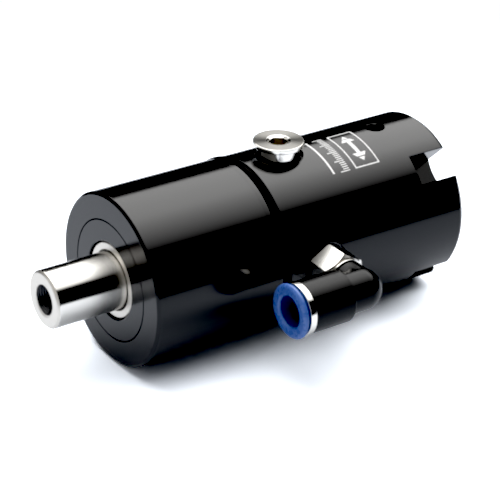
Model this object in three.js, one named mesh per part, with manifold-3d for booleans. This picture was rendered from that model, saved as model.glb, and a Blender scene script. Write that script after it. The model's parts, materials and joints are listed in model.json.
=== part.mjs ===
// Rotary air joint: a hollow steel shaft turns in a round two-piece aluminium housing on two ball
// bearings, and a sprung face seal carries compressed air from a radial port into the turning shaft.
//
// Frame: millimetres, +Z up through the plugged port. The shaft's axis is the X axis and its nose
// points to -X. The origin is on the axis, in the plane of the slotted rear end that holds the part.
// Along the axis a place is given as a station, counted from the front face of the housing.
import * as THREE from "three";
import { mergeVertices } from "three/addons/utils/BufferGeometryUtils.js";
import Module from "manifold-3d";

const wasm = await Module();
wasm.setup();

// ---------------------------------------------------------------- driving dimensions, mm
const BODY_R = 28; // outside of both housing halves
const BODY_LENGTH = 118; // front face to rear face
const SLEEVE_LENGTH = 45.9; // front half of the housing
const BAND_WIDTH = 2.7; // rubber band between the halves
const BAND_PROUD = 0.35;
const NOSE_LENGTH = 23.2; // shaft in front of the housing
const NOSE_R = 9.25;
const PORT_STATION = 62.2; // both radial ports
const SPOT_FACE_R = 8.1; // flat seat milled round each port
const SPOT_FACE_D = 26.8; // its distance from the axis
const THREAD_R = 4.86; // G1/8 female thread, taken as a plain hole
const THREAD_PLAY = 0.11; // male threads are this much smaller
const AIR_R = 4.3; // air passage through the shaft

const FIT = 0.05; // radial gap of pieces that are pressed or screwed together
const REST = 0.1; // axial gap of faces that touch
const SLIDE_PLAY = 0.15; // radial gap of pieces that slide on each other
const ROUND = 40; // sides of the housing pieces
const TURNING = 24; // sides of the bearings and of what turns with the shaft
const SMALL = 16; // sides of the small turned pieces
const DETAIL = 12; // sides of the smallest turned pieces

// Bearings, both 20 x 42 x 12 with nine balls
const BEARING = { bore: 10, outside: 21, width: 12, pitch: 15.5, ball: 3.175, balls: 9 };
const FRONT_BEARING = 9; // station of its front face
const BEARING_SPACE = 5; // between the two bearings
const REAR_BEARING = FRONT_BEARING + BEARING.width + BEARING_SPACE;
const BEARINGS_END = REAR_BEARING + BEARING.width;

// Front cap and shaft seal
const CAP_R = 19.3;
const CAP_DEPTH = 7.8;
const CAP_SEAM = 0.35; // open seam round the cap
const CAP_BORE_R = 12.55;
const SEAL_SEAT_R = 16;
const SEAL_SEAT = 1.5; // station of the seat's front wall
const WEAR_SLEEVE = { inner: 9.75, outer: 11.4, front: 0.5, rear: 7.1 };
const WEAR_FLANGE = { radius: 12.2, rear: 1.2, edge: 0.35 }; // covers the lip seal's front

// Housing rear half
const SPIGOT_R = 24;
const BAND_END = SLEEVE_LENGTH + BAND_WIDTH;
const ROTOR_ROOM_R = 15;
const ROTOR_ROOM_END = 51.5;
const STATOR_BORE_R = 12.1;
const STATOR_BORE_END = 59.5;
const CHAMBER_R = 14;
const CHAMBER_PLUG = { front: 74, rear: 82 };
const REGISTER_R = 16.5; // open bore at the rear end
const REGISTER = 88; // station where it starts
const REGISTER_CHAMFER = 1.7;
const REAR_CHAMFER = { along: 1.5, across: 1.04 };
const SLOT = { count: 4, width: 10, floor: 17.1, station: 102.8, firstAngle: 45 };
const PIN_HOLE = { station: 100.7, radius: 3, sink: 0.3 };

// Seal faces
const SEAL_FACE = 50.2; // where rotor and stator rings meet
const FACE_GAP = 0.1;
const STATOR = { nose: 9.5, body: 12, step: 52, rear: 60 };
const KEYWAY = { width: 2.5, height: 3, front: 53, middle: 12 }; // middle: distance from the axis
const KEY = { front: 57.4, rear: 59.3, across: 0.2, along: 0.7 }; // across, along: its play
const SPRING = { mean: 9.3, wire: 0.8, turns: 5 };

// Elbow fitting on the -Y port
const HEX_R = 8.08; // corner radius, 14 mm across flats
const HEX_TURN = 0.5; // degrees, as tightened
const HEX = { inner: 28.3, outer: 37.1, coneAlong: 0.9, coneAcross: 1.3 };
const COLLAR = { radius: 6.8, end: 38.2 };
const TUBE_AXIS_D = 45.2; // the tube's axis, from the shaft's axis
const ELBOW = { stem: 6.4, corner: 6.6, barrel: 8.3, barrelRear: 54.5, barrelFront: 39.8 };
const TUBE_R = 5.05; // socket for a 10 mm tube
const SOCKET = { ringRoom: 46.8, sealRoom: 49.6, sealRoomR: 7, stop: 56, passageR: 3.8 };
const MOUTH_RING = { radius: 8.45, front: 37.5, rear: 39.7, sleeve: 7.3, end: 44.9 };
const RELEASE = { radius: 8.7, front: 35, back: 36.4, sleeve: 6.1, end: 44.6 };

// Plug on the +Z port
const PLUG = { flange: 8.2, top: 32.5, thickness: 1.5, neck: 6.9, neckFoot: 27.8, end: 19 };
const PLUG_SOCKET = { acrossFlats: 5.5, depth: 4.2, dish: 3.8, dishDepth: 0.5 };

// ---------------------------------------------------------------- materials
const finish = (color, roughness, metalness) =>
  new THREE.MeshStandardMaterial({ color, roughness, metalness });
const blackAnodised = finish(0x131316, 0.32, 0.6);
const groundSteel = finish(0xd8d8d6, 0.18, 1);
const bearingSteel = finish(0xb9bcc0, 0.25, 1);
const nickel = finish(0xd2d0c8, 0.22, 1);
const springSteel = finish(0x8d9096, 0.35, 1);
const brass = finish(0xb08d4a, 0.4, 1);
const carbon = finish(0x26272a, 0.5, 0.2);
const ceramic = finish(0x5a5c60, 0.35, 0.1);
const rubber = finish(0x0b0b0c, 0.7, 0);
const blackPlastic = finish(0x16171a, 0.3, 0);
const bluePlastic = finish(0x2f5fc4, 0.35, 0);

// ---------------------------------------------------------------- solids
const MERGE = 1e-4;

function toSolid(geometry) {
  const bare = geometry.index ? geometry.toNonIndexed() : geometry;
  bare.deleteAttribute("normal");
  bare.deleteAttribute("uv");
  const merged = mergeVertices(bare, MERGE);
  return new wasm.Manifold(
    new wasm.Mesh({
      numProp: 3,
      vertProperties: merged.attributes.position.array,
      triVerts: new Uint32Array(merged.index.array),
    }),
  );
}

function toGeometry(solid) {
  const { vertProperties, triVerts } = solid.getMesh();
  const geometry = new THREE.BufferGeometry();
  geometry.setAttribute("position", new THREE.BufferAttribute(vertProperties, 3));
  geometry.setIndex(new THREE.BufferAttribute(triVerts, 1));
  geometry.computeVertexNormals();
  return geometry;
}

const cut = (solid, ...tools) => tools.reduce((left, tool) => left.subtract(tool), solid);
const join = (...solids) => solids.reduce((all, one) => all.add(one));

// A solid of revolution about X. The outline is a list of [station, radius] that closes on itself.
function turned(outline, sides = ROUND) {
  const points = outline.map(([station, radius]) => new THREE.Vector2(radius, station));
  if (points[0].x > 0 || points.at(-1).x > 0) points.push(points[0].clone());
  if (THREE.ShapeUtils.area(points) < 0) points.reverse();
  return toSolid(new THREE.LatheGeometry(points, sides).rotateZ(-Math.PI / 2));
}

const rod = (from, to, radius, sides = SMALL) =>
  turned([[from, 0], [from, radius], [to, radius], [to, 0]], sides);

const tube = (from, to, inner, outer, sides = ROUND) =>
  turned([[from, inner], [from, outer], [to, outer], [to, inner]], sides);

// A rubber ring of round section about X.
const oRing = (station, mean, section, sides = SMALL) =>
  toSolid(new THREE.TorusGeometry(mean, section, 5, sides).rotateY(Math.PI / 2).translate(station, 0, 0));

// The rubber ring that lies on the bottom of a groove.
const ringInGroove = ({ front, rear, bottom }, section, sides = SMALL) =>
  oRing((front + rear) / 2, bottom + section + REST / 2, section, sides);

// Points of an arc in a turned outline, from one angle to another, in degrees from +X.
function arc(station, radius, size, from, to, steps = 3) {
  return Array.from({ length: steps + 1 }, (_, i) => {
    const angle = THREE.MathUtils.degToRad(from + ((to - from) * i) / steps);
    return [station + size * Math.cos(angle), radius + size * Math.sin(angle)];
  });
}

const hexRod = (from, to, corner, turn = 0) =>
  toSolid(
    new THREE.CylinderGeometry(corner, corner, to - from, 6)
      .rotateZ(-Math.PI / 2)
      .rotateX(THREE.MathUtils.degToRad(turn))
      .translate((from + to) / 2, 0, 0),
  );

const block = (length, width, height, x, y, z) =>
  toSolid(new THREE.BoxGeometry(length, width, height).translate(x, y, z));

// Points the solid's own +X outwards from the shaft's axis at an angle up from -Y, at a station.
function radial(solid, angle, station) {
  return toSolid(
    toGeometry(solid)
      .rotateZ(-Math.PI / 2)
      .rotateX(-THREE.MathUtils.degToRad(angle))
      .translate(station, 0, 0),
  );
}

// A flat open ring with two lugs at its gap; the lugs stand outwards or inwards.
function retainingRing({ from, thickness, inner, outer, lug, halfGap }) {
  const lugArc = 0.28; // radians of each lug
  const start = halfGap;
  const end = 2 * Math.PI - halfGap;
  const outside = outer + Math.max(lug, 0);
  const inside = inner + Math.min(lug, 0);
  const shape = new THREE.Shape();
  shape.absarc(0, 0, outside, start, start + lugArc, false);
  shape.absarc(0, 0, outer, start + lugArc, end - lugArc, false);
  shape.absarc(0, 0, outside, end - lugArc, end, false);
  shape.absarc(0, 0, inside, end, end - lugArc, true);
  shape.absarc(0, 0, inner, end - lugArc, start + lugArc, true);
  shape.absarc(0, 0, inside, start + lugArc, start, true);
  const plate = new THREE.ExtrudeGeometry(shape, { depth: thickness, bevelEnabled: false, curveSegments: 8 });
  return toSolid(plate.rotateY(Math.PI / 2).translate(from, 0, 0));
}

class Helix extends THREE.Curve {
  constructor(radius, from, to, turns) {
    super();
    Object.assign(this, { radius, from, to, turns });
  }

  getPoint(t, target = new THREE.Vector3()) {
    const angle = 2 * Math.PI * this.turns * t;
    const station = THREE.MathUtils.lerp(this.from, this.to, t);
    return target.set(station, this.radius * Math.cos(angle), this.radius * Math.sin(angle));
  }
}

// ---------------------------------------------------------------- housing
const frontSleeve = () => {
  const edge = 0.8;
  const rearEdge = 0.4;
  const wall = CAP_DEPTH + REST;
  const mouth = CAP_R + CAP_SEAM;
  return turned([
    [0, mouth],
    [0, BODY_R - edge],
    [edge, BODY_R],
    [SLEEVE_LENGTH - rearEdge, BODY_R],
    [SLEEVE_LENGTH, BODY_R - rearEdge],
    [SLEEVE_LENGTH, SPIGOT_R + FIT],
    [BEARINGS_END, SPIGOT_R + FIT],
    [BEARINGS_END, BEARING.outside + FIT],
    [wall, BEARING.outside + FIT],
    [wall, mouth],
  ]);
};

const frontCap = () => {
  const edge = 0.3;
  return turned([
    [0, CAP_BORE_R + edge],
    [0, CAP_R],
    [CAP_DEPTH, CAP_R],
    [CAP_DEPTH, SEAL_SEAT_R + FIT],
    [SEAL_SEAT, SEAL_SEAT_R + FIT],
    [SEAL_SEAT, CAP_BORE_R],
    [edge, CAP_BORE_R],
  ]);
};

// Lip seal: a rubber body with a dust lip in front and a sprung lip behind, both on the wear sleeve.
const LIP_SEAL = {
  front: SEAL_SEAT + REST,
  rear: 6.3,
  lip: WEAR_SLEEVE.outer + SLIDE_PLAY,
  dustLip: 2.1, // stations of the two lips
  mainLip: 5,
  neck: 12.2, // radius between the lips
  pocket: { front: 3.4, inner: 13.3, outer: 14.8 }, // room of the garter spring
};

const lipSeal = () => {
  const { front, rear, lip, dustLip, mainLip, neck, pocket } = LIP_SEAL;
  return turned(
    [
      [front, neck - 0.3],
      [front, SEAL_SEAT_R],
      [rear, SEAL_SEAT_R],
      [rear, pocket.outer],
      [pocket.front, pocket.outer],
      [pocket.front, pocket.inner],
      [rear, pocket.inner],
      [mainLip, lip],
      [mainLip - 0.8, neck],
      [dustLip + 0.5, neck],
      [dustLip, lip],
    ],
    TURNING,
  );
};

const garterSpring = () =>
  oRing(LIP_SEAL.mainLip + 0.2, (LIP_SEAL.pocket.inner + LIP_SEAL.pocket.outer) / 2 + 0.05, 0.45);

const jointBand = () => {
  const edge = 0.45;
  return turned([
    [SLEEVE_LENGTH + REST, SPIGOT_R + FIT],
    [SLEEVE_LENGTH + REST, BODY_R + BAND_PROUD - edge / 2],
    [SLEEVE_LENGTH + REST + edge, BODY_R + BAND_PROUD],
    [BAND_END - REST - 2 * edge, BODY_R + BAND_PROUD],
    [BAND_END - REST, BODY_R - edge],
    [BAND_END - REST, SPIGOT_R + FIT],
  ]);
};

const SPIGOT_GROOVE = { front: 40.2, rear: 42.8, bottom: 22.1 };

const rearHousing = () => {
  const frontEdge = 0.5;
  const bodySolid = turned([
    [BEARINGS_END + REST, ROTOR_ROOM_R],
    [BEARINGS_END + REST, SPIGOT_R],
    [SPIGOT_GROOVE.front, SPIGOT_R],
    [SPIGOT_GROOVE.front, SPIGOT_GROOVE.bottom],
    [SPIGOT_GROOVE.rear, SPIGOT_GROOVE.bottom],
    [SPIGOT_GROOVE.rear, SPIGOT_R],
    [BAND_END, SPIGOT_R],
    [BAND_END, BODY_R - frontEdge],
    [BAND_END + frontEdge, BODY_R],
    [BODY_LENGTH - REAR_CHAMFER.along, BODY_R],
    [BODY_LENGTH, BODY_R - REAR_CHAMFER.across],
    [BODY_LENGTH, REGISTER_R + REGISTER_CHAMFER],
    [BODY_LENGTH - REGISTER_CHAMFER, REGISTER_R],
    [REGISTER, REGISTER_R],
    [REGISTER, CHAMBER_R],
    [CIRCLIP_GROOVE.rear, CHAMBER_R],
    [CIRCLIP_GROOVE.rear, CIRCLIP_GROOVE.radius],
    [CIRCLIP_GROOVE.front, CIRCLIP_GROOVE.radius],
    [CIRCLIP_GROOVE.front, CHAMBER_R],
    [STATOR_BORE_END, CHAMBER_R],
    [STATOR_BORE_END, STATOR_BORE_R],
    [ROTOR_ROOM_END, STATOR_BORE_R],
    [ROTOR_ROOM_END, ROTOR_ROOM_R],
  ]);
  const ports = [0, 90].flatMap((angle) => [
    radial(rod(0, BODY_R + 2, THREAD_R), angle, PORT_STATION),
    radial(rod(SPOT_FACE_D, BODY_R + 2, SPOT_FACE_R, TURNING), angle, PORT_STATION),
  ]);
  const pinHole = turned(
    [
      [REGISTER_R - 2, 0],
      [REGISTER_R - 2, PIN_HOLE.radius],
      [BODY_R - PIN_HOLE.sink, PIN_HOLE.radius],
      [BODY_R + 1, PIN_HOLE.radius + PIN_HOLE.sink + 1],
      [BODY_R + 1, 0],
    ],
    DETAIL,
  );
  const slotLength = BODY_LENGTH - SLOT.station + 1;
  const slotDepth = BODY_R - SLOT.floor + 1;
  const slots = Array.from({ length: SLOT.count }, (_, i) =>
    radial(
      block(slotDepth, slotLength, SLOT.width, SLOT.floor + slotDepth / 2, 0, 0),
      SLOT.firstAngle + (360 / SLOT.count) * i,
      SLOT.station + slotLength / 2,
    ),
  );
  const keywayEnd = STATOR_BORE_END + 1;
  const keyway = block(
    keywayEnd - KEYWAY.front,
    KEYWAY.height,
    KEYWAY.width,
    (KEYWAY.front + keywayEnd) / 2,
    KEYWAY.middle + FIT,
    0,
  );
  return cut(bodySolid, ...ports, radial(pinHole, 90, PIN_HOLE.station), ...slots, keyway);
};

const bodyORing = () => ringInGroove(SPIGOT_GROOVE, 0.85, TURNING);

// ---------------------------------------------------------------- bearings
const RACE = { innerLip: 12.9, outerLip: 18, groove: 3.45 };

const innerRace = (front) => {
  const rear = front + BEARING.width;
  const middle = front + BEARING.width / 2;
  const lean = (Math.asin((BEARING.pitch - RACE.innerLip) / RACE.groove) * 180) / Math.PI;
  const groove = arc(middle, BEARING.pitch, RACE.groove, 180 + lean, 360 - lean);
  return turned(
    [[front, BEARING.bore], [front, RACE.innerLip], ...groove, [rear, RACE.innerLip], [rear, BEARING.bore]],
    TURNING,
  );
};

const outerRace = (front) => {
  const rear = front + BEARING.width;
  const middle = front + BEARING.width / 2;
  const lean = (Math.asin((RACE.outerLip - BEARING.pitch) / RACE.groove) * 180) / Math.PI;
  const groove = arc(middle, BEARING.pitch, RACE.groove, lean, 180 - lean);
  return turned([
    [front, RACE.outerLip],
    [front, BEARING.outside],
    [rear, BEARING.outside],
    [rear, RACE.outerLip],
    ...groove,
  ]);
};

const ballPlace = (i) => {
  const angle = (2 * Math.PI * i) / BEARING.balls;
  return [0, BEARING.pitch * Math.sin(angle), BEARING.pitch * Math.cos(angle)];
};

const sphere = (radius) => new THREE.SphereGeometry(radius, 8, 6);

const ball = () => toSolid(sphere(BEARING.ball));

const CAGE = { halfWidth: 4.4, halfThickness: 1, ballPlay: 0.35 };

const cage = () => {
  const windowR = BEARING.ball + CAGE.ballPlay;
  const window = new THREE.CylinderGeometry(windowR, windowR, 6 * CAGE.halfThickness, 10);
  const windows = Array.from({ length: BEARING.balls }, (_, i) => {
    const turn = (2 * Math.PI * i) / BEARING.balls;
    return toSolid(window.clone().rotateX(Math.PI / 2 - turn).translate(...ballPlace(i)));
  });
  const inner = BEARING.pitch - CAGE.halfThickness;
  const outer = BEARING.pitch + CAGE.halfThickness;
  return cut(tube(-CAGE.halfWidth, CAGE.halfWidth, inner, outer, TURNING), ...windows);
};

// ---------------------------------------------------------------- rotor
const SHAFT = {
  underSleeve: 9.45,
  shoulder: 11.3,
  seat: BEARING.bore - FIT,
  tail: 8,
  tailStart: 41,
  tailEnd: 48,
  clipGroove: { front: BEARINGS_END + 0.15, rear: BEARINGS_END + 1.55, radius: 9.4 },
};
const NOSE_THREAD_DEPTH = 13;

const shaft = () => {
  const edge = 0.7;
  const threadStart = -NOSE_LENGTH + NOSE_THREAD_DEPTH;
  return turned(
    [
      [-NOSE_LENGTH, THREAD_R + 0.3],
      [-NOSE_LENGTH, NOSE_R - edge],
      [-NOSE_LENGTH + edge, NOSE_R],
      [2.5, NOSE_R],
      [2.5, SHAFT.underSleeve],
      [WEAR_SLEEVE.rear + REST, SHAFT.underSleeve],
      [WEAR_SLEEVE.rear + REST, SHAFT.shoulder],
      [FRONT_BEARING - REST, SHAFT.shoulder],
      [FRONT_BEARING - REST, SHAFT.seat],
      [SHAFT.clipGroove.front, SHAFT.seat],
      [SHAFT.clipGroove.front, SHAFT.clipGroove.radius],
      [SHAFT.clipGroove.rear, SHAFT.clipGroove.radius],
      [SHAFT.clipGroove.rear, SHAFT.seat],
      [SHAFT.tailStart, SHAFT.seat],
      [SHAFT.tailStart, SHAFT.tail],
      [ROTOR_GROOVE.front, SHAFT.tail],
      [ROTOR_GROOVE.front, ROTOR_GROOVE.bottom],
      [ROTOR_GROOVE.rear, ROTOR_GROOVE.bottom],
      [ROTOR_GROOVE.rear, SHAFT.tail],
      [SHAFT.tailEnd, SHAFT.tail],
      [SHAFT.tailEnd, AIR_R],
      [threadStart, AIR_R],
      [threadStart - 0.5, THREAD_R],
      [-NOSE_LENGTH + 0.3, THREAD_R],
    ],
    TURNING,
  );
};

const wearSleeve = () => {
  const edge = 0.35;
  const { front, rear, inner, outer } = WEAR_SLEEVE;
  return turned(
    [
      [front, inner + edge],
      [front, WEAR_FLANGE.radius - WEAR_FLANGE.edge],
      [front + WEAR_FLANGE.edge, WEAR_FLANGE.radius],
      [WEAR_FLANGE.rear, WEAR_FLANGE.radius],
      [WEAR_FLANGE.rear, outer],
      [rear, outer],
      [rear, inner],
      [front + edge, inner],
    ],
    TURNING,
  );
};

const ROTOR_RING = { front: 42, outer: 12.8, face: 9.2, step: 1.5, lip: 5.6 };
const ROTOR_GROOVE = { front: 44, rear: 46.2, bottom: 6.7 };

const rotorRing = () => {
  const face = SEAL_FACE - FACE_GAP / 2;
  const edge = 0.5;
  return turned(
    [
      [ROTOR_RING.front, SHAFT.tail + FIT],
      [ROTOR_RING.front, ROTOR_RING.outer],
      [face - ROTOR_RING.step, ROTOR_RING.outer],
      [face - ROTOR_RING.step, ROTOR_RING.face],
      [face, ROTOR_RING.face - edge],
      [face, ROTOR_RING.lip],
      [SHAFT.tailEnd + 0.3, ROTOR_RING.lip],
      [SHAFT.tailEnd + 0.3, SHAFT.tail + FIT],
    ],
    TURNING,
  );
};

const rotorORing = () => ringInGroove(ROTOR_GROOVE, 0.55);

// ---------------------------------------------------------------- stator, pressed forward by its spring
const STATOR_GROOVE = { front: 54.4, rear: 56.6, bottom: 10.3 };

const statorRing = () => {
  const face = SEAL_FACE + FACE_GAP / 2;
  const ring = turned(
    [
      [face, AIR_R + 0.7],
      [face, STATOR.nose],
      [STATOR.step, STATOR.nose],
      [STATOR.step, STATOR.body],
      [STATOR_GROOVE.front, STATOR.body],
      [STATOR_GROOVE.front, STATOR_GROOVE.bottom],
      [STATOR_GROOVE.rear, STATOR_GROOVE.bottom],
      [STATOR_GROOVE.rear, STATOR.body],
      [STATOR.rear, STATOR.body],
      [STATOR.rear, AIR_R + 0.7],
    ],
    TURNING,
  );
  const slotFront = KEY.front - KEY.along;
  const slotEnd = STATOR.rear + 1;
  const slot = block(
    slotEnd - slotFront,
    KEYWAY.height + 2 * KEY.across,
    KEYWAY.width + 2 * KEY.across,
    (slotFront + slotEnd) / 2,
    KEYWAY.middle,
    0,
  );
  return cut(ring, slot);
};

const statorORing = () => ringInGroove(STATOR_GROOVE, 0.75);

const statorKey = () =>
  block(
    KEY.rear - KEY.front,
    KEYWAY.height - 2 * KEY.across,
    KEYWAY.width - KEY.across,
    (KEY.front + KEY.rear) / 2,
    KEYWAY.middle + REST,
    0,
  );

const sealSpring = () => {
  const first = STATOR.rear + SPRING.wire + 0.2;
  const last = CHAMBER_PLUG.front - SPRING.wire - 0.2;
  const wire = new THREE.Shape();
  wire.absarc(0, 0, SPRING.wire, 0, 2 * Math.PI, false);
  const path = new Helix(SPRING.mean, first, last, SPRING.turns);
  const options = { steps: 10 * SPRING.turns, extrudePath: path, bevelEnabled: false, curveSegments: 3 };
  return toSolid(new THREE.ExtrudeGeometry(wire, options));
};

// ---------------------------------------------------------------- rear closure of the air chamber
const PLUG_GROOVE = { front: 76.2, rear: 78.8, bottom: 12.1 };
const CIRCLIP_GROOVE = { front: CHAMBER_PLUG.rear + 0.15, rear: CHAMBER_PLUG.rear + 1.65, radius: 15 };

const chamberPlug = () => {
  const { front, rear } = CHAMBER_PLUG;
  const radius = CHAMBER_R - FIT;
  const blank = turned(
    [
      [front, 0],
      [front, radius],
      [PLUG_GROOVE.front, radius],
      [PLUG_GROOVE.front, PLUG_GROOVE.bottom],
      [PLUG_GROOVE.rear, PLUG_GROOVE.bottom],
      [PLUG_GROOVE.rear, radius],
      [rear, radius],
      [rear, 0],
    ],
    ROUND,
  );
  const socket = { corner: 5.8, depth: 4 };
  return cut(blank, hexRod(rear - socket.depth, rear + 1, socket.corner));
};

const chamberORing = () => ringInGroove(PLUG_GROOVE, 0.8, TURNING);

const chamberClip = () =>
  retainingRing({
    from: CIRCLIP_GROOVE.front + REST,
    thickness: 1.25,
    inner: 12.7,
    outer: CIRCLIP_GROOVE.radius - 0.15,
    lug: -1.8,
    halfGap: 0.22,
  });

const shaftClip = () =>
  retainingRing({
    from: SHAFT.clipGroove.front + REST,
    thickness: 1.2,
    inner: SHAFT.clipGroove.radius + 0.3,
    outer: 11.6,
    lug: 1.6,
    halfGap: 0.2,
  });

// ---------------------------------------------------------------- plug of the spare port, along its own +X
const portPlug = () => {
  const edge = 0.25;
  const foot = PLUG.top - PLUG.thickness;
  const blank = turned(
    [
      [PLUG.end, 0],
      [PLUG.end, THREAD_R - THREAD_PLAY - 0.6],
      [PLUG.end + 0.6, THREAD_R - THREAD_PLAY],
      [PLUG.neckFoot, THREAD_R - THREAD_PLAY],
      [PLUG.neckFoot, PLUG.neck],
      [foot, PLUG.neck],
      [foot, PLUG.flange - edge],
      [foot + edge, PLUG.flange],
      [PLUG.top - edge, PLUG.flange],
      [PLUG.top, PLUG.flange - edge],
      [PLUG.top, PLUG_SOCKET.dish],
      [PLUG.top - PLUG_SOCKET.dishDepth, PLUG_SOCKET.dish - 0.8],
      [PLUG.top - PLUG_SOCKET.dishDepth, 0],
    ],
    TURNING,
  );
  const socket = hexRod(PLUG.top - PLUG_SOCKET.depth, PLUG.top, PLUG_SOCKET.acrossFlats / Math.sqrt(3), 0);
  return cut(blank, socket);
};

const portPlugSeal = () => tube(SPOT_FACE_D + REST, PLUG.neckFoot - REST, THREAD_R + 0.2, 7, SMALL);

// ---------------------------------------------------------------- elbow fitting, along its own +X
const SPIGOT = { radius: 4.1, end: 43.4 };
const STEM_GROOVE = { front: 40.4, rear: 42, bottom: 3.3 };
const STEM_BORE = 2.9;
const STEM_END = 20; // distance of its inner end from the shaft's axis

const elbowStem = () => {
  const blank = turned(
    [
      [STEM_END, STEM_BORE],
      [STEM_END, THREAD_R - THREAD_PLAY - 0.5],
      [STEM_END + 0.5, THREAD_R - THREAD_PLAY],
      [HEX.inner, THREAD_R - THREAD_PLAY],
      [HEX.outer - 0.5, THREAD_R - THREAD_PLAY],
      [HEX.outer - 0.5, COLLAR.radius],
      [COLLAR.end, COLLAR.radius],
      [COLLAR.end, SPIGOT.radius],
      [STEM_GROOVE.front, SPIGOT.radius],
      [STEM_GROOVE.front, STEM_GROOVE.bottom],
      [STEM_GROOVE.rear, STEM_GROOVE.bottom],
      [STEM_GROOVE.rear, SPIGOT.radius],
      [SPIGOT.end, SPIGOT.radius],
      [SPIGOT.end, STEM_BORE],
    ],
    SMALL,
  );
  const rounding = turned(
    [
      [HEX.inner, STEM_BORE + 0.5],
      [HEX.inner, HEX_R + 0.1],
      [HEX.outer - HEX.coneAlong, HEX_R + 0.1],
      [HEX.outer, HEX_R - HEX.coneAcross],
      [HEX.outer, STEM_BORE + 0.5],
    ],
    SMALL,
  );
  return join(blank, rounding.intersect(hexRod(HEX.inner - 1, HEX.outer + 1, HEX_R, HEX_TURN)));
};

const elbowStemSeal = () => tube(SPOT_FACE_D + REST, HEX.inner - REST, THREAD_R + 0.2, 7, SMALL);

const elbowStemORing = () => ringInGroove(STEM_GROOVE, 0.38, DETAIL);

// The elbow's body is made in place: its stem along -Y, its barrel along X round the tube's axis.
const elbowBody = () => {
  const offset = -TUBE_AXIS_D;
  const alongTube = (solid) => toSolid(toGeometry(solid).translate(0, offset, 0));
  const outside = join(
    radial(rod(COLLAR.end + 0.3, TUBE_AXIS_D, ELBOW.stem), 0, PORT_STATION),
    alongTube(
      turned(
        [
          [ELBOW.barrelFront, 0],
          [ELBOW.barrelFront, ELBOW.barrel],
          [ELBOW.barrelRear - 0.4, ELBOW.barrel],
          [ELBOW.barrelRear, ELBOW.barrel - 0.4],
          [ELBOW.barrelRear, ELBOW.corner],
          ...arc(PORT_STATION, 0, ELBOW.corner, 90, 0, 5),
        ],
        TURNING,
      ),
    ),
  );
  const socket = turned(
    [
      [ELBOW.barrelFront - 1, 0],
      [ELBOW.barrelFront - 1, MOUTH_RING.sleeve + FIT],
      [SOCKET.ringRoom, MOUTH_RING.sleeve + FIT],
      [SOCKET.ringRoom, SOCKET.sealRoomR],
      [SOCKET.sealRoom, SOCKET.sealRoomR],
      [SOCKET.sealRoom, TUBE_R],
      [SOCKET.stop, TUBE_R],
      [SOCKET.stop, SOCKET.passageR],
      [PORT_STATION, SOCKET.passageR],
      [PORT_STATION, 0],
    ],
    TURNING,
  );
  return cut(
    outside,
    alongTube(socket),
    radial(rod(COLLAR.end, SPIGOT.end + 0.3, SPIGOT.radius + 0.1), 0, PORT_STATION),
    radial(rod(COLLAR.end, TUBE_AXIS_D, STEM_BORE + 0.3), 0, PORT_STATION),
  );
};

// Pieces round the tube's axis
const mouthRing = () => {
  const edge = 0.35;
  const inner = RELEASE.sleeve + SLIDE_PLAY;
  return turned(
    [
      [MOUTH_RING.front, inner],
      [MOUTH_RING.front, MOUTH_RING.radius - edge],
      [MOUTH_RING.front + edge, MOUTH_RING.radius],
      [MOUTH_RING.rear, MOUTH_RING.radius],
      [MOUTH_RING.rear, MOUTH_RING.sleeve],
      [MOUTH_RING.end, MOUTH_RING.sleeve],
      [MOUTH_RING.end, inner],
    ],
    TURNING,
  );
};

const GRAB_RING = { front: 45.4, thickness: 0.4, lean: 0.6, inner: 5.3, outer: 7.2, teeth: 8 };

const grabRing = () => {
  const { front, thickness, lean, inner, outer, teeth } = GRAB_RING;
  const washer = turned(
    [
      [front + lean, outer],
      [front + lean + thickness, outer],
      [front + thickness, inner],
      [front, inner],
    ],
    SMALL,
  );
  const gap = new THREE.BoxGeometry(2, 1.4, 0.8).translate(front + lean, inner + 0.3, 0);
  const gaps = Array.from({ length: teeth }, (_, i) =>
    toSolid(gap.clone().rotateX((2 * Math.PI * i) / teeth)),
  );
  return cut(washer, ...gaps);
};

const tubeORing = () =>
  oRing((SOCKET.ringRoom + SOCKET.sealRoom) / 2, TUBE_R + 1, 0.85, SMALL);

const releaseRing = () => {
  const edge = 0.4;
  const ring = turned(
    [
      [RELEASE.front, TUBE_R + 0.5],
      [RELEASE.front, RELEASE.radius - edge],
      [RELEASE.front + edge, RELEASE.radius],
      [RELEASE.back, RELEASE.radius],
      [RELEASE.back, RELEASE.sleeve],
      [RELEASE.end, RELEASE.sleeve],
      [RELEASE.end, TUBE_R],
      [RELEASE.front + 0.5, TUBE_R],
    ],
    TURNING,
  );
  const slits = [0, Math.PI / 2].map((angle) =>
    toSolid(new THREE.BoxGeometry(4, 20, 0.9).translate(RELEASE.end - 1.5, 0, 0).rotateX(angle)),
  );
  return cut(ring, ...slits);
};

// ---------------------------------------------------------------- assembly
const mesh = (name, solid, material) => {
  const piece = new THREE.Mesh(toGeometry(solid), material);
  piece.name = name;
  return piece;
};

const group = (...pieces) => new THREE.Group().add(...pieces);

const housing = group(
  mesh("front_sleeve", frontSleeve(), blackAnodised),
  mesh("front_cap", frontCap(), blackAnodised),
  mesh("front_lip_seal", lipSeal(), rubber),
  mesh("lip_seal_garter_spring", garterSpring(), springSteel),
  mesh("front_bearing_outer_race", outerRace(FRONT_BEARING), bearingSteel),
  mesh(
    "outer_spacer",
    tube(FRONT_BEARING + BEARING.width + REST, REAR_BEARING - REST, 17.6, BEARING.outside),
    bearingSteel,
  ),
  mesh("rear_bearing_outer_race", outerRace(REAR_BEARING), bearingSteel),
  mesh("joint_band", jointBand(), rubber),
  mesh("rear_housing", rearHousing(), blackAnodised),
  mesh("spigot_o_ring", bodyORing(), rubber),
  mesh("stator_key", statorKey(), bearingSteel),
  mesh("chamber_plug", chamberPlug(), blackAnodised),
  mesh("chamber_plug_o_ring", chamberORing(), rubber),
  mesh("chamber_retaining_ring", chamberClip(), springSteel),
);

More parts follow.
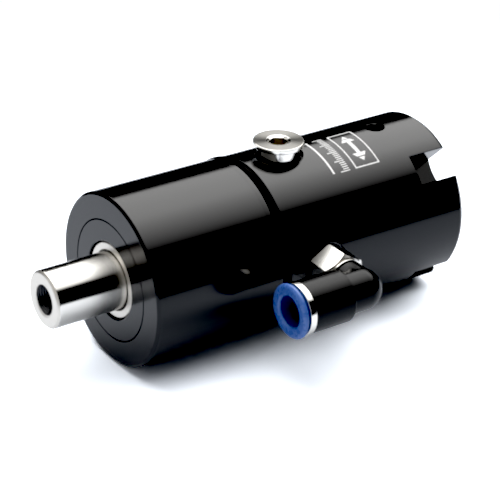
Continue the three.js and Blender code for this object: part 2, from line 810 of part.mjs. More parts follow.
const rotor = group(
  mesh("shaft", shaft(), groundSteel),
  mesh("wear_sleeve", wearSleeve(), groundSteel),
  mesh("front_bearing_inner_race", innerRace(FRONT_BEARING), bearingSteel),
  mesh(
    "inner_spacer",
    tube(FRONT_BEARING + BEARING.width + REST, REAR_BEARING - REST, BEARING.bore, 12.6, TURNING),
    bearingSteel,
  ),
  mesh("rear_bearing_inner_race", innerRace(REAR_BEARING), bearingSteel),
  mesh("shaft_retaining_ring", shaftClip(), springSteel),
  mesh("rotor_seal_ring", rotorRing(), carbon),
  mesh("rotor_seal_o_ring", rotorORing(), rubber),
);

function ballSet(name, front) {
  const set = group(mesh(`${name}_cage`, cage(), brass));
  for (let i = 0; i < BEARING.balls; i += 1) {
    const one = mesh(`${name}_ball_${i + 1}`, ball(), bearingSteel);
    one.position.set(...ballPlace(i));
    set.add(one);
  }
  set.position.x = front + BEARING.width / 2;
  return set;
}

const stator = group(
  mesh("stator_seal_ring", statorRing(), ceramic),
  mesh("stator_o_ring", statorORing(), rubber),
  mesh("seal_spring", sealSpring(), springSteel),
);

// A group whose own +X points outwards through a port at an angle up from -Y.
function atPort(angle, ...pieces) {
  const port = group(...pieces);
  port.position.x = PORT_STATION;
  port.rotation.set(-THREE.MathUtils.degToRad(angle), 0, -Math.PI / 2);
  return port;
}

const sparePort = atPort(
  90,
  mesh("port_plug", portPlug(), nickel),
  mesh("port_plug_seal", portPlugSeal(), rubber),
);

const livePort = atPort(
  0,
  mesh("elbow_stem", elbowStem(), nickel),
  mesh("elbow_stem_seal", elbowStemSeal(), rubber),
  mesh("elbow_stem_o_ring", elbowStemORing(), rubber),
);

const aroundTube = group(
  mesh("mouth_ring", mouthRing(), nickel),
  mesh("grab_ring", grabRing(), springSteel),
  mesh("tube_o_ring", tubeORing(), rubber),
  mesh("release_ring", releaseRing(), bluePlastic),
);
aroundTube.position.y = -TUBE_AXIS_D;

const airJoint = group(
  housing,
  rotor,
  ballSet("front_bearing", FRONT_BEARING),
  ballSet("rear_bearing", REAR_BEARING),
  stator,
  sparePort,
  livePort,
  mesh("elbow_body", elbowBody(), blackPlastic),
  aroundTube,
);
airJoint.position.x = -BODY_LENGTH;

export default group(airJoint);
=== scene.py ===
"""Looks of a rotary air joint: fine meshes, procedural materials, studio light and camera.

Sizes are in millimetres. Along the shaft's axis a place is a station, counted from the housing's
front face. put() turns them into places of the frame, which is in metres and is shared with the CAD.
"""
import json
import math

import bmesh
import bpy
from mathutils import Euler, Matrix, Vector


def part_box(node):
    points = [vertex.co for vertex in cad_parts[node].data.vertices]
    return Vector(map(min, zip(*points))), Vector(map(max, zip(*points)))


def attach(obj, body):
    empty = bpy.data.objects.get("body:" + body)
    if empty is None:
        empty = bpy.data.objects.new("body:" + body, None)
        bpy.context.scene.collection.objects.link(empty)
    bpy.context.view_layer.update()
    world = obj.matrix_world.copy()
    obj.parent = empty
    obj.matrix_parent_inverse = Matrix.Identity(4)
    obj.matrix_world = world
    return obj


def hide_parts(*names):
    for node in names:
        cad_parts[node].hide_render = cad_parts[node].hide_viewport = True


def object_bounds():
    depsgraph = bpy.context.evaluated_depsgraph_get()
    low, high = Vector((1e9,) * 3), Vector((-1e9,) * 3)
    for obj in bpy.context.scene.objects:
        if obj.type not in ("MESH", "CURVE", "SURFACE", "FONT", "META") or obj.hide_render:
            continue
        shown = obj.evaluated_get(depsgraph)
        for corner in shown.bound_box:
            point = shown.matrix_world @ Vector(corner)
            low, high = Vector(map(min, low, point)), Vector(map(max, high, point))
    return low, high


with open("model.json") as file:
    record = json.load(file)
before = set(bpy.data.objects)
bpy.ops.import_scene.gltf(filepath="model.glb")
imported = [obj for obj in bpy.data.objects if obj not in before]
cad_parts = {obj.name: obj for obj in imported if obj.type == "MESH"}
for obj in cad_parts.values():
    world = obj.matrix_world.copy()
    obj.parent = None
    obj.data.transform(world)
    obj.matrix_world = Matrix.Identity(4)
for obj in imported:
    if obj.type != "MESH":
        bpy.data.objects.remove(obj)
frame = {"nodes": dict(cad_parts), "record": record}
cad_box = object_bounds()

# ---------------------------------------------------------------- the frame
MM = 0.001
BODY_OF = {node: body for body, nodes in frame["record"]["behaviour"]["bodies"].items() for node in nodes}
SLOT_OF = {part["node"]: part["material_slot"] for part in frame["record"]["subparts"]}


def span(node, axis):
    """Lowest and highest place of a node along an axis of the frame, in mm."""
    low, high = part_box(node)
    return low[axis] / MM, high[axis] / MM


FRONT_FACE = span("front_sleeve", 0)[0]


def stations(node):
    low, high = span(node, 0)
    return low - FRONT_FACE, high - FRONT_FACE


BODY_R = span("front_sleeve", 2)[1]
SLEEVE_END = stations("front_sleeve")[1]
BODY_END = stations("rear_housing")[1]
BAND_REAR = stations("joint_band")[1]
BAND_R = span("joint_band", 2)[1]
CAP_R = span("front_cap", 2)[1]
CAP_DEPTH = stations("front_cap")[1]
NOSE_END = stations("shaft")[0]
PORT_STATION = sum(stations("port_plug")) / 2
WEAR_FRONT, WEAR_REAR = stations("wear_sleeve")
WEAR_FLANGE_R = span("wear_sleeve", 2)[1]
PLUG_TOP = span("port_plug", 2)[1]
PLUG_R = (stations("port_plug")[1] - stations("port_plug")[0]) / 2
RING_FRONT, RING_END = stations("mouth_ring")
RING_R = span("mouth_ring", 2)[1]
TUBE_AXIS = -sum(span("mouth_ring", 1)) / 2
RELEASE_FRONT, RELEASE_END = stations("release_ring")
RELEASE_R = span("release_ring", 2)[1]
CHAMBER_FRONT, CHAMBER_REAR = stations("chamber_plug")
CHAMBER_R = span("chamber_plug", 2)[1]
BARREL_FRONT = stations("elbow_body")[0]
BARREL_R = span("elbow_body", 2)[1]
BASE_Z = span("rear_housing", 2)[0]

# Sizes that no box gives, the same as the CAD's
FIT = 0.05  # radial gap of pieces that are pressed or screwed together
REST = 0.1  # axial gap of faces that touch
SEAL_SEAT_R = 16
NOSE_R = 9.25
WEAR_R = 11.4
THREAD_R = 4.86  # G1/8 female threads, at their crests
MALE_R = THREAD_R - 0.11  # male threads, taken as plain
AIR_R = 4.3
TUBE_R = 5.05  # socket for a 10 mm tube
SPIGOT_R = 24
SPOT_FACE = {"radius": 8.1, "height": 26.8}
REGISTER = {"radius": 16.5, "station": 88, "chamfer": 1.7}
SLOT = {"count": 4, "width": 10, "floor": 17.1, "station": 102.8, "first": 45}
PIN_HOLE = {"station": 100.7, "radius": 3}
ELBOW = {"stem": 6.4, "corner": 6.6, "step": 54.5}
HEX = {"corner": 8.08, "inner": 28.3, "outer": 37.1, "turn": 0.5}
COLLAR = {"radius": 6.8, "end": 38.2}

# The thread in the nose, which the CAD takes as a plain hole
THREAD_PITCH = 0.907
THREAD_DEPTH = 0.5

AROUND = 256  # sides of the large turned pieces
SMALL_AROUND = 128
ARC_STEPS = 6


# ---------------------------------------------------------------- meshes
def put(point):
    """A point given as (station, y, z) in mm, in the frame."""
    return Vector(((point[0] + FRONT_FACE) * MM, point[1] * MM, point[2] * MM))


def rounded(corners):
    """An outline whose corners (station, radius, size) are rounded, each arc starting `size` away."""
    outline = []
    for i, (s, r, *size) in enumerate(corners):
        here = Vector((s, r))
        if not size:
            outline.append(here)
            continue
        before = Vector(corners[i - 1][:2])
        after = Vector(corners[(i + 1) % len(corners)][:2])
        start = here + (before - here).normalized() * size[0]
        end = here + (after - here).normalized() * size[0]
        for k in range(ARC_STEPS + 1):
            t = k / ARC_STEPS
            outline.append(start.lerp(here, t).lerp(here.lerp(end, t), t))
    return outline


def around_shaft(s, r, angle):
    return (s, -r * math.cos(angle), r * math.sin(angle))


def around_tube(s, r, angle):
    return (s, -TUBE_AXIS - r * math.cos(angle), r * math.sin(angle))


def at_top_port(d, r, angle):
    return (PORT_STATION + r * math.cos(angle), r * math.sin(angle), d)


def at_side_port(d, r, angle):
    return (PORT_STATION + r * math.cos(angle), -d, r * math.sin(angle))


def lathe(name, corners, place=around_shaft, sides=AROUND, relief=None):
    """A closed solid of revolution. relief(along, radius, angle), where given, is added to the radius."""
    outline = rounded(corners)
    mesh = bpy.data.meshes.new(name)
    bm = bmesh.new()
    rings = []
    for s, r in outline:
        if r < 1e-6:
            rings.append([bm.verts.new(put(place(s, 0, 0)))])
            continue
        ring = []
        for k in range(sides):
            angle = 2 * math.pi * k / sides
            bulge = relief(s, r, angle) if relief else 0
            ring.append(bm.verts.new(put(place(s, r + bulge, angle))))
        rings.append(ring)
    for a, b in zip(rings, rings[1:] + rings[:1]):
        if len(a) == 1 and len(b) == 1:
            continue
        for k in range(sides):
            n = (k + 1) % sides
            if len(a) == 1:
                bm.faces.new([a[0], b[n], b[k]])
            elif len(b) == 1:
                bm.faces.new([a[k], a[n], b[0]])
            else:
                bm.faces.new([a[k], a[n], b[n], b[k]])
    bmesh.ops.remove_doubles(bm, verts=bm.verts, dist=1e-7)
    bmesh.ops.recalc_face_normals(bm, faces=bm.faces)
    bm.to_mesh(mesh)
    bm.free()
    return link(name, mesh)


def link(name, mesh):
    obj = bpy.data.objects.new(name, mesh)
    bpy.context.scene.collection.objects.link(obj)
    return obj


def prism(name, section, depth_from, depth_to, place):
    """A closed prism: section is a list of (u, v), and place(u, v, depth) gives a point in mm."""
    bm = bmesh.new()
    ends = [[bm.verts.new(put(place(u, v, d))) for u, v in section] for d in (depth_from, depth_to)]
    bm.faces.new(ends[0])
    bm.faces.new(ends[1])
    count = len(section)
    for k in range(count):
        n = (k + 1) % count
        bm.faces.new([ends[0][k], ends[0][n], ends[1][n], ends[1][k]])
    bmesh.ops.recalc_face_normals(bm, faces=bm.faces)
    mesh = bpy.data.meshes.new(name)
    bm.to_mesh(mesh)
    bm.free()
    return link(name, mesh)


def hexagon(corner, turn=0):
    angles = [math.radians(turn + 60 * k) for k in range(6)]
    return [(corner * math.cos(a), corner * math.sin(a)) for a in angles]


def rectangle(low, high, half):
    return [(low, -half), (high, -half), (high, half), (low, half)]


def apply_modifiers(obj):
    bpy.context.view_layer.update()
    evaluated = obj.evaluated_get(bpy.context.evaluated_depsgraph_get())
    mesh = bpy.data.meshes.new_from_object(evaluated)
    obj.modifiers.clear()
    obj.data = mesh


def combine(obj, operation, *tools):
    """Joins, cuts or intersects a piece with tools, which are used up."""
    for tool in tools:
        step = obj.modifiers.new("step", "BOOLEAN")
        step.operation = operation
        step.solver = "EXACT"
        step.object = tool
    apply_modifiers(obj)
    for tool in tools:
        bpy.data.objects.remove(tool)


def shade(obj, cylinder=None, sharp=32):
    """Smooth shading in which flat and straight faces keep their own direction.

    cylinder is a radius about the shaft's axis whose faces get the true round direction.
    """
    mesh = obj.data
    mesh.shade_smooth()
    mesh.set_sharp_from_angle(angle=math.radians(sharp))
    weighted = obj.modifiers.new("weighted", "WEIGHTED_NORMAL")
    weighted.keep_sharp = True
    weighted.weight = 90
    apply_modifiers(obj)
    if cylinder:
        true_round(obj.data, cylinder)
    return obj


def true_round(mesh, radius):
    """Turns the normals of the faces at a radius about the shaft's axis straight away from the axis."""
    normals = [Vector(n.vector) for n in mesh.corner_normals]
    lowest = radius * math.cos(math.pi / AROUND) * MM * 0.99995
    for face in mesh.polygons:
        points = [mesh.vertices[v].co for v in face.vertices]
        if abs(face.normal.x) > 0.02 or min(math.hypot(p.y, p.z) for p in points) < lowest:
            continue
        for corner in face.loop_indices:
            co = mesh.vertices[mesh.loops[corner].vertex_index].co
            normals[corner] = Vector((0, co.y, co.z)).normalized()
    mesh.normals_split_custom_set(normals)


def stand_in(obj, node, material):
    """The piece takes a CAD node's place: its body, and a material."""
    obj.data.materials.clear()
    obj.data.materials.append(material)
    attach(obj, BODY_OF[node])
    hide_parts(node)


def finish_faces(obj, material, chosen):
    """Gives the faces for which chosen(place, normal) holds another material.

    place is a face's middle as (station, y, z) in mm, and normal is its direction.
    """
    obj.data.materials.append(material)
    index = len(obj.data.materials) - 1
    for face in obj.data.polygons:
        x, y, z = face.center / MM
        if chosen((x - FRONT_FACE, y, z), face.normal):
            face.material_index = index


# ---------------------------------------------------------------- materials
def feed(tree, node, inputs):
    """Links each input that is given as a socket, and sets the others."""
    for key, value in inputs.items():
        if isinstance(value, bpy.types.NodeSocket):
            tree.links.new(value, node.inputs[key])
        else:
            node.inputs[key].default_value = value


def add_node(tree, kind, inputs=None, **settings):
    node = tree.nodes.new(kind)
    for key, value in settings.items():
        setattr(node, key, value)
    feed(tree, node, inputs or {})
    return node


class Nodes:
    """A material's node tree with short ways to add what the materials here share."""

    def __init__(self, name):
        self.material = bpy.data.materials.new(name)
        self.material.use_nodes = True
        self.tree = self.material.node_tree
        self.shader = self.tree.nodes["Principled BSDF"]
        self.coordinates = self.tree.nodes.new("ShaderNodeTexCoord").outputs["Object"]

    def add(self, kind, inputs=None, **settings):
        return add_node(self.tree, kind, inputs, **settings)

    def set(self, **inputs):
        feed(self.tree, self.shader, {key.replace("_", " "): value for key, value in inputs.items()})

    def noise(self, scale, stretch=(1, 1, 1), detail=3.0, rough=0.55):
        mapped = self.add("ShaderNodeVectorMath", {0: self.coordinates, 1: stretch}, operation="MULTIPLY")
        settings = {"Vector": mapped.outputs[0], "Scale": scale, "Detail": detail, "Roughness": rough}
        return self.add("ShaderNodeTexNoise", settings).outputs["Fac"]

    def between(self, value, low, high, start=0.3, end=0.7):
        """A value from a noise, spread from low to high."""
        ends = {"Value": value, "From Min": start, "From Max": end, "To Min": low, "To Max": high}
        return self.add("ShaderNodeMapRange", ends).outputs["Result"]

    def mix(self, factor, first, second):
        settings = {"Factor": factor, "A": (*first, 1), "B": (*second, 1)}
        return self.add("ShaderNodeMix", settings, data_type="RGBA").outputs["Result"]

    def clouded(self, scale, first, second):
        """A colour that drifts from first to second with a noise."""
        return self.mix(self.between(self.noise(scale), 0, 1), first, second)

    def bump(self, height, strength, distance=0.02):
        settings = {"Height": height, "Strength": strength, "Distance": distance * MM}
        return self.add("ShaderNodeBump", settings).outputs["Normal"]


def turned_lines(nodes, scale):
    """Fine lines left by the lathe: a noise stretched round the axis."""
    separate = nodes.add("ShaderNodeSeparateXYZ", {0: nodes.coordinates})
    y, z = separate.outputs["Y"], separate.outputs["Z"]
    squares = [nodes.add("ShaderNodeMath", {0: v, 1: v}, operation="MULTIPLY").outputs[0] for v in (y, z)]
    total = nodes.add("ShaderNodeMath", {0: squares[0], 1: squares[1]}, operation="ADD")
    radius = nodes.add("ShaderNodeMath", {0: total.outputs[0]}, operation="SQRT")
    joined = {"X": separate.outputs["X"], "Y": radius.outputs[0]}
    place = nodes.add("ShaderNodeCombineXYZ", joined).outputs[0]
    return nodes.add("ShaderNodeTexNoise", {"Vector": place, "Scale": scale, "Detail": 2.0}).outputs["Fac"]


def anodised(name):
    nodes = Nodes(name)
    lines = turned_lines(nodes, 5200)
    grain = nodes.noise(2600, detail=2.0)
    cloud = nodes.noise(55)
    nodes.set(
        Base_Color=nodes.mix(nodes.between(cloud, 0, 1), (0.001, 0.001, 0.0013), (0.0018, 0.0018, 0.0022)),
        Roughness=nodes.between(grain, 0.13, 0.18),
        Normal=nodes.bump(lines, 0.06),
        IOR=1.5,
    )
    return nodes.material


def steel(name, tint, roughness, lines_scale, strength, anisotropy=0.0):
    """Turned or ground steel. Its fine rings spread light along the axis and keep it sharp around it."""
    nodes = Nodes(name)
    if anisotropy:
        tangent = nodes.add("ShaderNodeTangent", direction_type="RADIAL", axis="X").outputs[0]
        nodes.set(Anisotropic=anisotropy, Anisotropic_Rotation=0.25, Tangent=tangent)
    lines = turned_lines(nodes, lines_scale)
    smear = nodes.noise(60, detail=1.0)
    darker = tuple(c * 0.97 for c in tint)
    nodes.set(
        Base_Color=nodes.mix(nodes.between(smear, 0, 1), darker, tint),
        Metallic=1.0,
        Roughness=nodes.between(smear, roughness * 0.92, roughness * 1.08),
        Normal=nodes.bump(lines, strength),
    )
    return nodes.material


def nickel(name):
    nodes = Nodes(name)
    cloud = nodes.noise(240)
    nodes.set(
        Base_Color=nodes.mix(nodes.between(cloud, 0, 1), (0.76, 0.745, 0.71), (0.84, 0.825, 0.79)),
        Metallic=1.0,
        Roughness=nodes.between(cloud, 0.1, 0.17),
        Normal=nodes.bump(nodes.noise(900), 0.05),
    )
    return nodes.material


def faced_nickel(name):
    """Nickel plate over a faced, turned top: light spreads across the tool's rings."""
    nodes = Nodes(name)
    nodes.set(
        Base_Color=nodes.clouded(300, (0.25, 0.245, 0.23), (0.29, 0.283, 0.268)),
        Metallic=1.0,
        Roughness=nodes.between(nodes.noise(420), 0.3, 0.36),
        Anisotropic=0.9,
        Anisotropic_Rotation=0.25,
        Tangent=nodes.add("ShaderNodeTangent", direction_type="RADIAL", axis="Z").outputs[0],
    )
    return nodes.material


def rubber(name):
    nodes = Nodes(name)
    nodes.set(
        Base_Color=nodes.clouded(180, (0.0015, 0.0015, 0.0016), (0.003, 0.003, 0.003)),
        Roughness=nodes.between(nodes.noise(700), 0.42, 0.55),
        Normal=nodes.bump(nodes.noise(2200), 0.12),
        Specular_IOR_Level=0.06,
    )
    return nodes.material


def black_plastic(name):
    nodes = Nodes(name)
    nodes.set(
        Base_Color=nodes.clouded(90, (0.0015, 0.0015, 0.0017), (0.003, 0.003, 0.0032)),
        Roughness=nodes.between(nodes.noise(320), 0.2, 0.26),
        Normal=nodes.bump(nodes.noise(420), 0.05),
        IOR=1.34,
    )
    return nodes.material


def blue_plastic(name, depth=1.0):
    """depth is how much of the face's tone the surface keeps; below 1 it gives a darker copy, which is
    painted shade for the bore.
    """
    nodes = Nodes(name)
    first, second = ([c * depth for c in tone] for tone in ((0.068, 0.142, 0.39), (0.074, 0.15, 0.41)))
    nodes.set(
        Base_Color=nodes.clouded(120, first, second),
        Roughness=nodes.between(nodes.noise(500), 0.24, 0.32),
        Normal=nodes.bump(nodes.noise(800), 0.06),
        IOR=1.5,
    )
    return nodes.material


def plain_finish(name, first, second, metallic, roughness):
    """Pieces inside the housing, and the painted shade in the plug's socket: a finish with a little
    variation.
    """
    nodes = Nodes(name)
    nodes.set(
        Base_Color=nodes.clouded(200, first, second),
        Metallic=metallic,
        Roughness=nodes.between(nodes.noise(500), roughness * 0.8, roughness * 1.2),
        Normal=nodes.bump(nodes.noise(1500), 0.05),
    )
    return nodes.material


def print_ink(name):
    nodes = Nodes(name)
    nodes.set(
        Base_Color=nodes.clouded(900, (0.62, 0.62, 0.62), (0.8, 0.8, 0.8)),
        Roughness=0.45,
    )
    return nodes.material


ANODISED = anodised("black_anodised")
GROUND_STEEL = steel("ground_steel", (0.76, 0.745, 0.71), 0.24, 6000, 0.05, 0.88)
FACED_STEEL = steel("faced_steel", (0.68, 0.655, 0.61), 0.42, 6000, 0.05)
# Dark steel for the shaft's threaded bore: painted shade inside the hole.
TAPPED_STEEL_PAINTED_SHADE = steel("tapped_steel_painted_shade", (0.15, 0.15, 0.155), 0.3, 3000, 0.05)
NICKEL = nickel("nickel_plate")
FACED_NICKEL = faced_nickel("nickel_plate_faced")
# A darker, yellower nickel for the plug's hex socket: painted shade.
SOCKET_NICKEL_PAINTED_SHADE = plain_finish("nickel_plate_socket_painted_shade", (0.3, 0.27, 0.19), (0.38, 0.35, 0.26), 1.0, 0.35)
RUBBER = rubber("black_rubber")
BLACK_PLASTIC = black_plastic("black_plastic")
BLUE_PLASTIC = blue_plastic("blue_plastic")
# A darker copy of the blue plastic for the inside of the bore: painted shade.
BLUE_BORE_PAINTED_SHADE = blue_plastic("blue_bore_painted_shade", 0.6)
FINISHES = {
    "black_anodised": ANODISED,
    "ground_steel": GROUND_STEEL,
    "bearing_steel": steel("bearing_steel", (0.62, 0.63, 0.65), 0.2, 4000, 0.1),
    "nickel_plate": NICKEL,
    "spring_steel": plain_finish("spring_steel", (0.3, 0.31, 0.33), (0.42, 0.43, 0.45), 1.0, 0.32),
    "brass_cage": plain_finish("brass_cage", (0.6, 0.43, 0.18), (0.7, 0.52, 0.24), 1.0, 0.35),
    "carbon": plain_finish("carbon", (0.015, 0.015, 0.017), (0.025, 0.025, 0.027), 0.0, 0.45),
    "ceramic": plain_finish("ceramic", (0.07, 0.07, 0.08), (0.1, 0.1, 0.11), 0.0, 0.35),
    "black_rubber": RUBBER,
    "black_plastic": BLACK_PLASTIC,
    "blue_plastic": BLUE_PLASTIC,
}
INK = print_ink("print_ink")


# ---------------------------------------------------------------- housing
def front_sleeve():
    mouth = CAP_R + 0.35
    wall = CAP_DEPTH + REST
    bearing_bore = 21 + FIT
    spigot_bore, spigot_bore_start = SPIGOT_R + FIT, 38
    chamfer = 0.8
    line = SLEEVE_END - 1.9  # a fine turned line, behind which the surface is a trace lower
    behind_line = BODY_R - 0.03
    sleeve = lathe("front_sleeve_turned", [
        (0, mouth, 0.12),
        (0, BODY_R - chamfer, 0.15),
        (chamfer, BODY_R, 0.15),
        (line - 0.12, BODY_R),
        (line, BODY_R - 0.07),
        (line + 0.12, behind_line),
        (SLEEVE_END - 0.3, behind_line, 0.12),
        (SLEEVE_END, BODY_R - 0.3, 0.1),
        (SLEEVE_END, spigot_bore),
        (spigot_bore_start, spigot_bore),
        (spigot_bore_start, bearing_bore),
        (wall, bearing_bore),
        (wall, mouth),
    ])
    stand_in(shade(sleeve, BODY_R), "front_sleeve", ANODISED)


def front_cap():
    bore = 12.55
    seat, seat_r = 1.5, SEAL_SEAT_R + FIT
    cap = lathe("front_cap_turned", [
        (0, bore + 0.3, 0.08),
        (0, CAP_R, 0.12),
        (CAP_DEPTH, CAP_R),
        (CAP_DEPTH, seat_r),
        (seat, seat_r),
        (seat, bore),
        (0.3, bore, 0.08),
    ])
    stand_in(shade(cap), "front_cap", ANODISED)


def front_lip_seal():
    """A dust lip in front and a sprung lip behind it, both on the wear sleeve."""
    front, rear = stations("front_lip_seal")
    lip = WEAR_R + 0.15
    dust_lip, main_lip, neck = 2.1, 5, 12.2
    pocket, pocket_inner, pocket_outer = 3.4, 13.3, 14.8  # room of the garter spring
    seal = lathe("front_lip_seal_moulded", [
        (front, neck - 0.3, 0.15),
        (front, SEAL_SEAT_R, 0.1),
        (rear, SEAL_SEAT_R, 0.1),
        (rear, pocket_outer, 0.1),
        (pocket, pocket_outer, 0.1),
        (pocket, pocket_inner, 0.1),
        (rear, pocket_inner, 0.1),
        (main_lip, lip, 0.05),
        (main_lip - 0.8, neck, 0.2),
        (dust_lip + 0.5, neck, 0.2),
        (dust_lip, lip, 0.05),
    ])
    stand_in(shade(seal), "front_lip_seal", RUBBER)


def joint_band():
    front, rear = stations("joint_band")
    inner = SPIGOT_R + FIT
    band = lathe("joint_band_moulded", [
        (front, inner),
        (front, BAND_R - 0.15, 0.3),
        (front + 0.6, BAND_R, 0.3),
        (rear - 0.7, BAND_R, 0.3),
        (rear, BODY_R - 0.3, 0.25),
        (rear, inner),
    ])
    stand_in(shade(band, BAND_R), "joint_band", RUBBER)


def port_tools():
    """Tools that cut both ports: a tapped hole with a lead, and a flat seat with a broken edge."""
    foot, lead = 10, 0.4
    flare, edge = BODY_R + 1, BODY_R - 0.05
    seat, seat_r = SPOT_FACE["height"], SPOT_FACE["radius"]
    section = [
        (foot, 0),
        (foot, THREAD_R),
        (seat - lead, THREAD_R),
        (seat, THREAD_R + lead),
        (seat, seat_r),
        (edge, seat_r),
        (flare, seat_r + flare - edge),
        (flare, 0),
    ]
    places = {"top": at_top_port, "side": at_side_port}
    return [lathe(f"cut_{name}", section, place, SMALL_AROUND) for name, place in places.items()]


def slot_tools():
    """Tools that cut the open slots at the rear end, with broken outer edges."""
    half = SLOT["width"] / 2
    edge = 0.3
    outer = math.sqrt(BODY_R**2 - half**2) - edge
    flare = 2.5
    section = [
        (-half, SLOT["floor"]),
        (half, SLOT["floor"]),
        (half, outer),
        (half + flare, outer + flare),
        (-half - flare, outer + flare),
        (-half, outer),
    ]
    tools = []
    for i in range(SLOT["count"]):
        angle = math.radians(SLOT["first"] + 360 / SLOT["count"] * i)

        def place(u, v, s, a=angle):
            return (s, -v * math.cos(a) - u * math.sin(a), v * math.sin(a) - u * math.cos(a))

        tools.append(prism(f"cut_slot_{i}", section, SLOT["station"], BODY_END + 2, place))
    return tools


def pin_hole_tool():
    """A tool that cuts the set-screw hole, from inside the rear bore to a broken edge outside."""
    foot, top = 14, BODY_R + 1
    edge = 0.55

    def place(d, r, angle):
        return (PIN_HOLE["station"] + r * math.cos(angle), r * math.sin(angle), d)

    return lathe("cut_pin", [
        (foot, 0),
        (foot, PIN_HOLE["radius"]),
        (BODY_R - edge, PIN_HOLE["radius"]),
        (top, PIN_HOLE["radius"] + edge + 1),
        (top, 0),
    ], place, 64)


def rear_housing():
    front = BAND_REAR + REST
    spigot_start = 38.1
    groove_front, groove_rear, groove_r = 40.2, 42.8, 22.1  # spigot's rubber ring
    rotor_room, rotor_room_end = 15, 51.5
    stator_bore, stator_bore_end = 12.1, 59.5
    clip_front, clip_rear, clip_r = CHAMBER_REAR + 0.15, CHAMBER_REAR + 1.65, 15
    bore = CHAMBER_R + FIT
    chamfer = REGISTER["chamfer"]
    bevel, bevel_r = 1.5, BODY_R - 1.04
    housing = lathe("rear_housing_turned", [
        (spigot_start, rotor_room),
        (spigot_start, SPIGOT_R),
        (groove_front, SPIGOT_R),
        (groove_front, groove_r),
        (groove_rear, groove_r),
        (groove_rear, SPIGOT_R),
        (front, SPIGOT_R),
        (front, BODY_R - 0.3, 0.1),
        (front + 0.3, BODY_R, 0.1),
        (BODY_END - bevel, BODY_R, 0.3),
        (BODY_END, bevel_r, 0.2),
        (BODY_END, REGISTER["radius"] + chamfer, 0.15),
        (BODY_END - chamfer, REGISTER["radius"], 0.15),
        (REGISTER["station"], REGISTER["radius"], 0.2),
        (REGISTER["station"], bore, 0.2),
        (clip_rear, bore),
        (clip_rear, clip_r),
        (clip_front, clip_r),
        (clip_front, bore),
        (stator_bore_end, bore),
        (stator_bore_end, stator_bore),
        (rotor_room_end, stator_bore),
        (rotor_room_end, rotor_room),
    ])
    key = {"low": 10.55, "high": 13.55, "half": 1.25, "front": 53, "rear": 60.5}
    key_section = rectangle(key["low"], key["high"], key["half"])
    keyway = prism("cut_key", key_section, key["front"], key["rear"], lambda y, z, s: (s, y, z))
    combine(housing, "DIFFERENCE", *port_tools(), *slot_tools(), pin_hole_tool(), keyway)
    stand_in(shade(housing, BODY_R), "rear_housing", ANODISED)


def chamber_plug():
    groove = {"front": 76.2, "rear": 78.8, "bottom": 12.1}
    plug = lathe("chamber_plug_turned", [
        (CHAMBER_FRONT, 0),
        (CHAMBER_FRONT, CHAMBER_R, 0.3),
        (groove["front"], CHAMBER_R),
        (groove["front"], groove["bottom"]),
        (groove["rear"], groove["bottom"]),
        (groove["rear"], CHAMBER_R),
        (CHAMBER_REAR, CHAMBER_R, 0.25),
        (CHAMBER_REAR, 0),
    ])
    socket_corner = 5.8
    depth = 4
    lead = lathe("cut_lead", [
        (CHAMBER_REAR - 0.6, 0),
        (CHAMBER_REAR - 0.6, socket_corner - 0.5),
        (CHAMBER_REAR + 0.1, socket_corner + 0.2),
        (CHAMBER_REAR + 0.1, 0),
    ], sides=96)
    socket = prism("cut_socket", hexagon(socket_corner), CHAMBER_REAR - depth, CHAMBER_REAR + 1,
                   lambda u, v, s: (s, u, v))
    combine(plug, "DIFFERENCE", socket, lead)
    stand_in(shade(plug), "chamber_plug", ANODISED)


def chamber_retaining_ring():
    """Flat open spring ring with two eared ends and plier holes."""
    front, rear = stations("chamber_retaining_ring")
    inner, outer, ear_inner = 12.7, 14.85, 10.9
    gap, ear = 0.22, 0.28  # angles, in radians
    plier_hole = 0.75
    steps, ear_steps = 120, 8

    def arc(radius, start, end, count):
        angles = [start + (end - start) * k / count for k in range(count + 1)]
        return [(radius * math.cos(a), radius * math.sin(a)) for a in angles]

    full = 2 * math.pi
    outline = (
        arc(outer, gap, full - gap, steps)
        + arc(ear_inner, full - gap, full - gap - ear, ear_steps)
        + arc(inner, full - gap - ear, gap + ear, steps)
        + arc(ear_inner, gap + ear, gap, ear_steps)
    )
    ring = prism("chamber_retaining_ring_stamped", outline, front, rear, lambda u, v, s: (s, -v, u))
    holes = []
    middle = (ear_inner + inner) / 2 + 0.2
    for i, side in enumerate((1, -1)):
        angle = side * (gap + ear / 2)

        def place(s, r, a, c=angle):
            return (s, -(middle * math.sin(c) + r * math.sin(a)), middle * math.cos(c) + r * math.cos(a))

        section = [(front - 1, 0), (front - 1, plier_hole), (rear + 1, plier_hole), (rear + 1, 0)]
        holes.append(lathe(f"cut_ear_{i}", section, place, 32))
    combine(ring, "DIFFERENCE", *holes)
    stand_in(shade(ring), "chamber_retaining_ring", FINISHES["spring_steel"])


# ---------------------------------------------------------------- rotor
def nose_thread(s, r, angle):
    """How far the thread in the nose cuts below its crest, fading out at its inner end."""
    start, end = NOSE_END + 0.3, NOSE_END + 12.4
    if r > THREAD_R + 0.05 or not start <= s <= end:
        return 0
    phase = (s / THREAD_PITCH - angle / (2 * math.pi)) % 1
    fade = min(1, (end - s) / THREAD_PITCH)
    return THREAD_DEPTH * (0.5 - 0.5 * math.cos(2 * math.pi * phase)) * fade


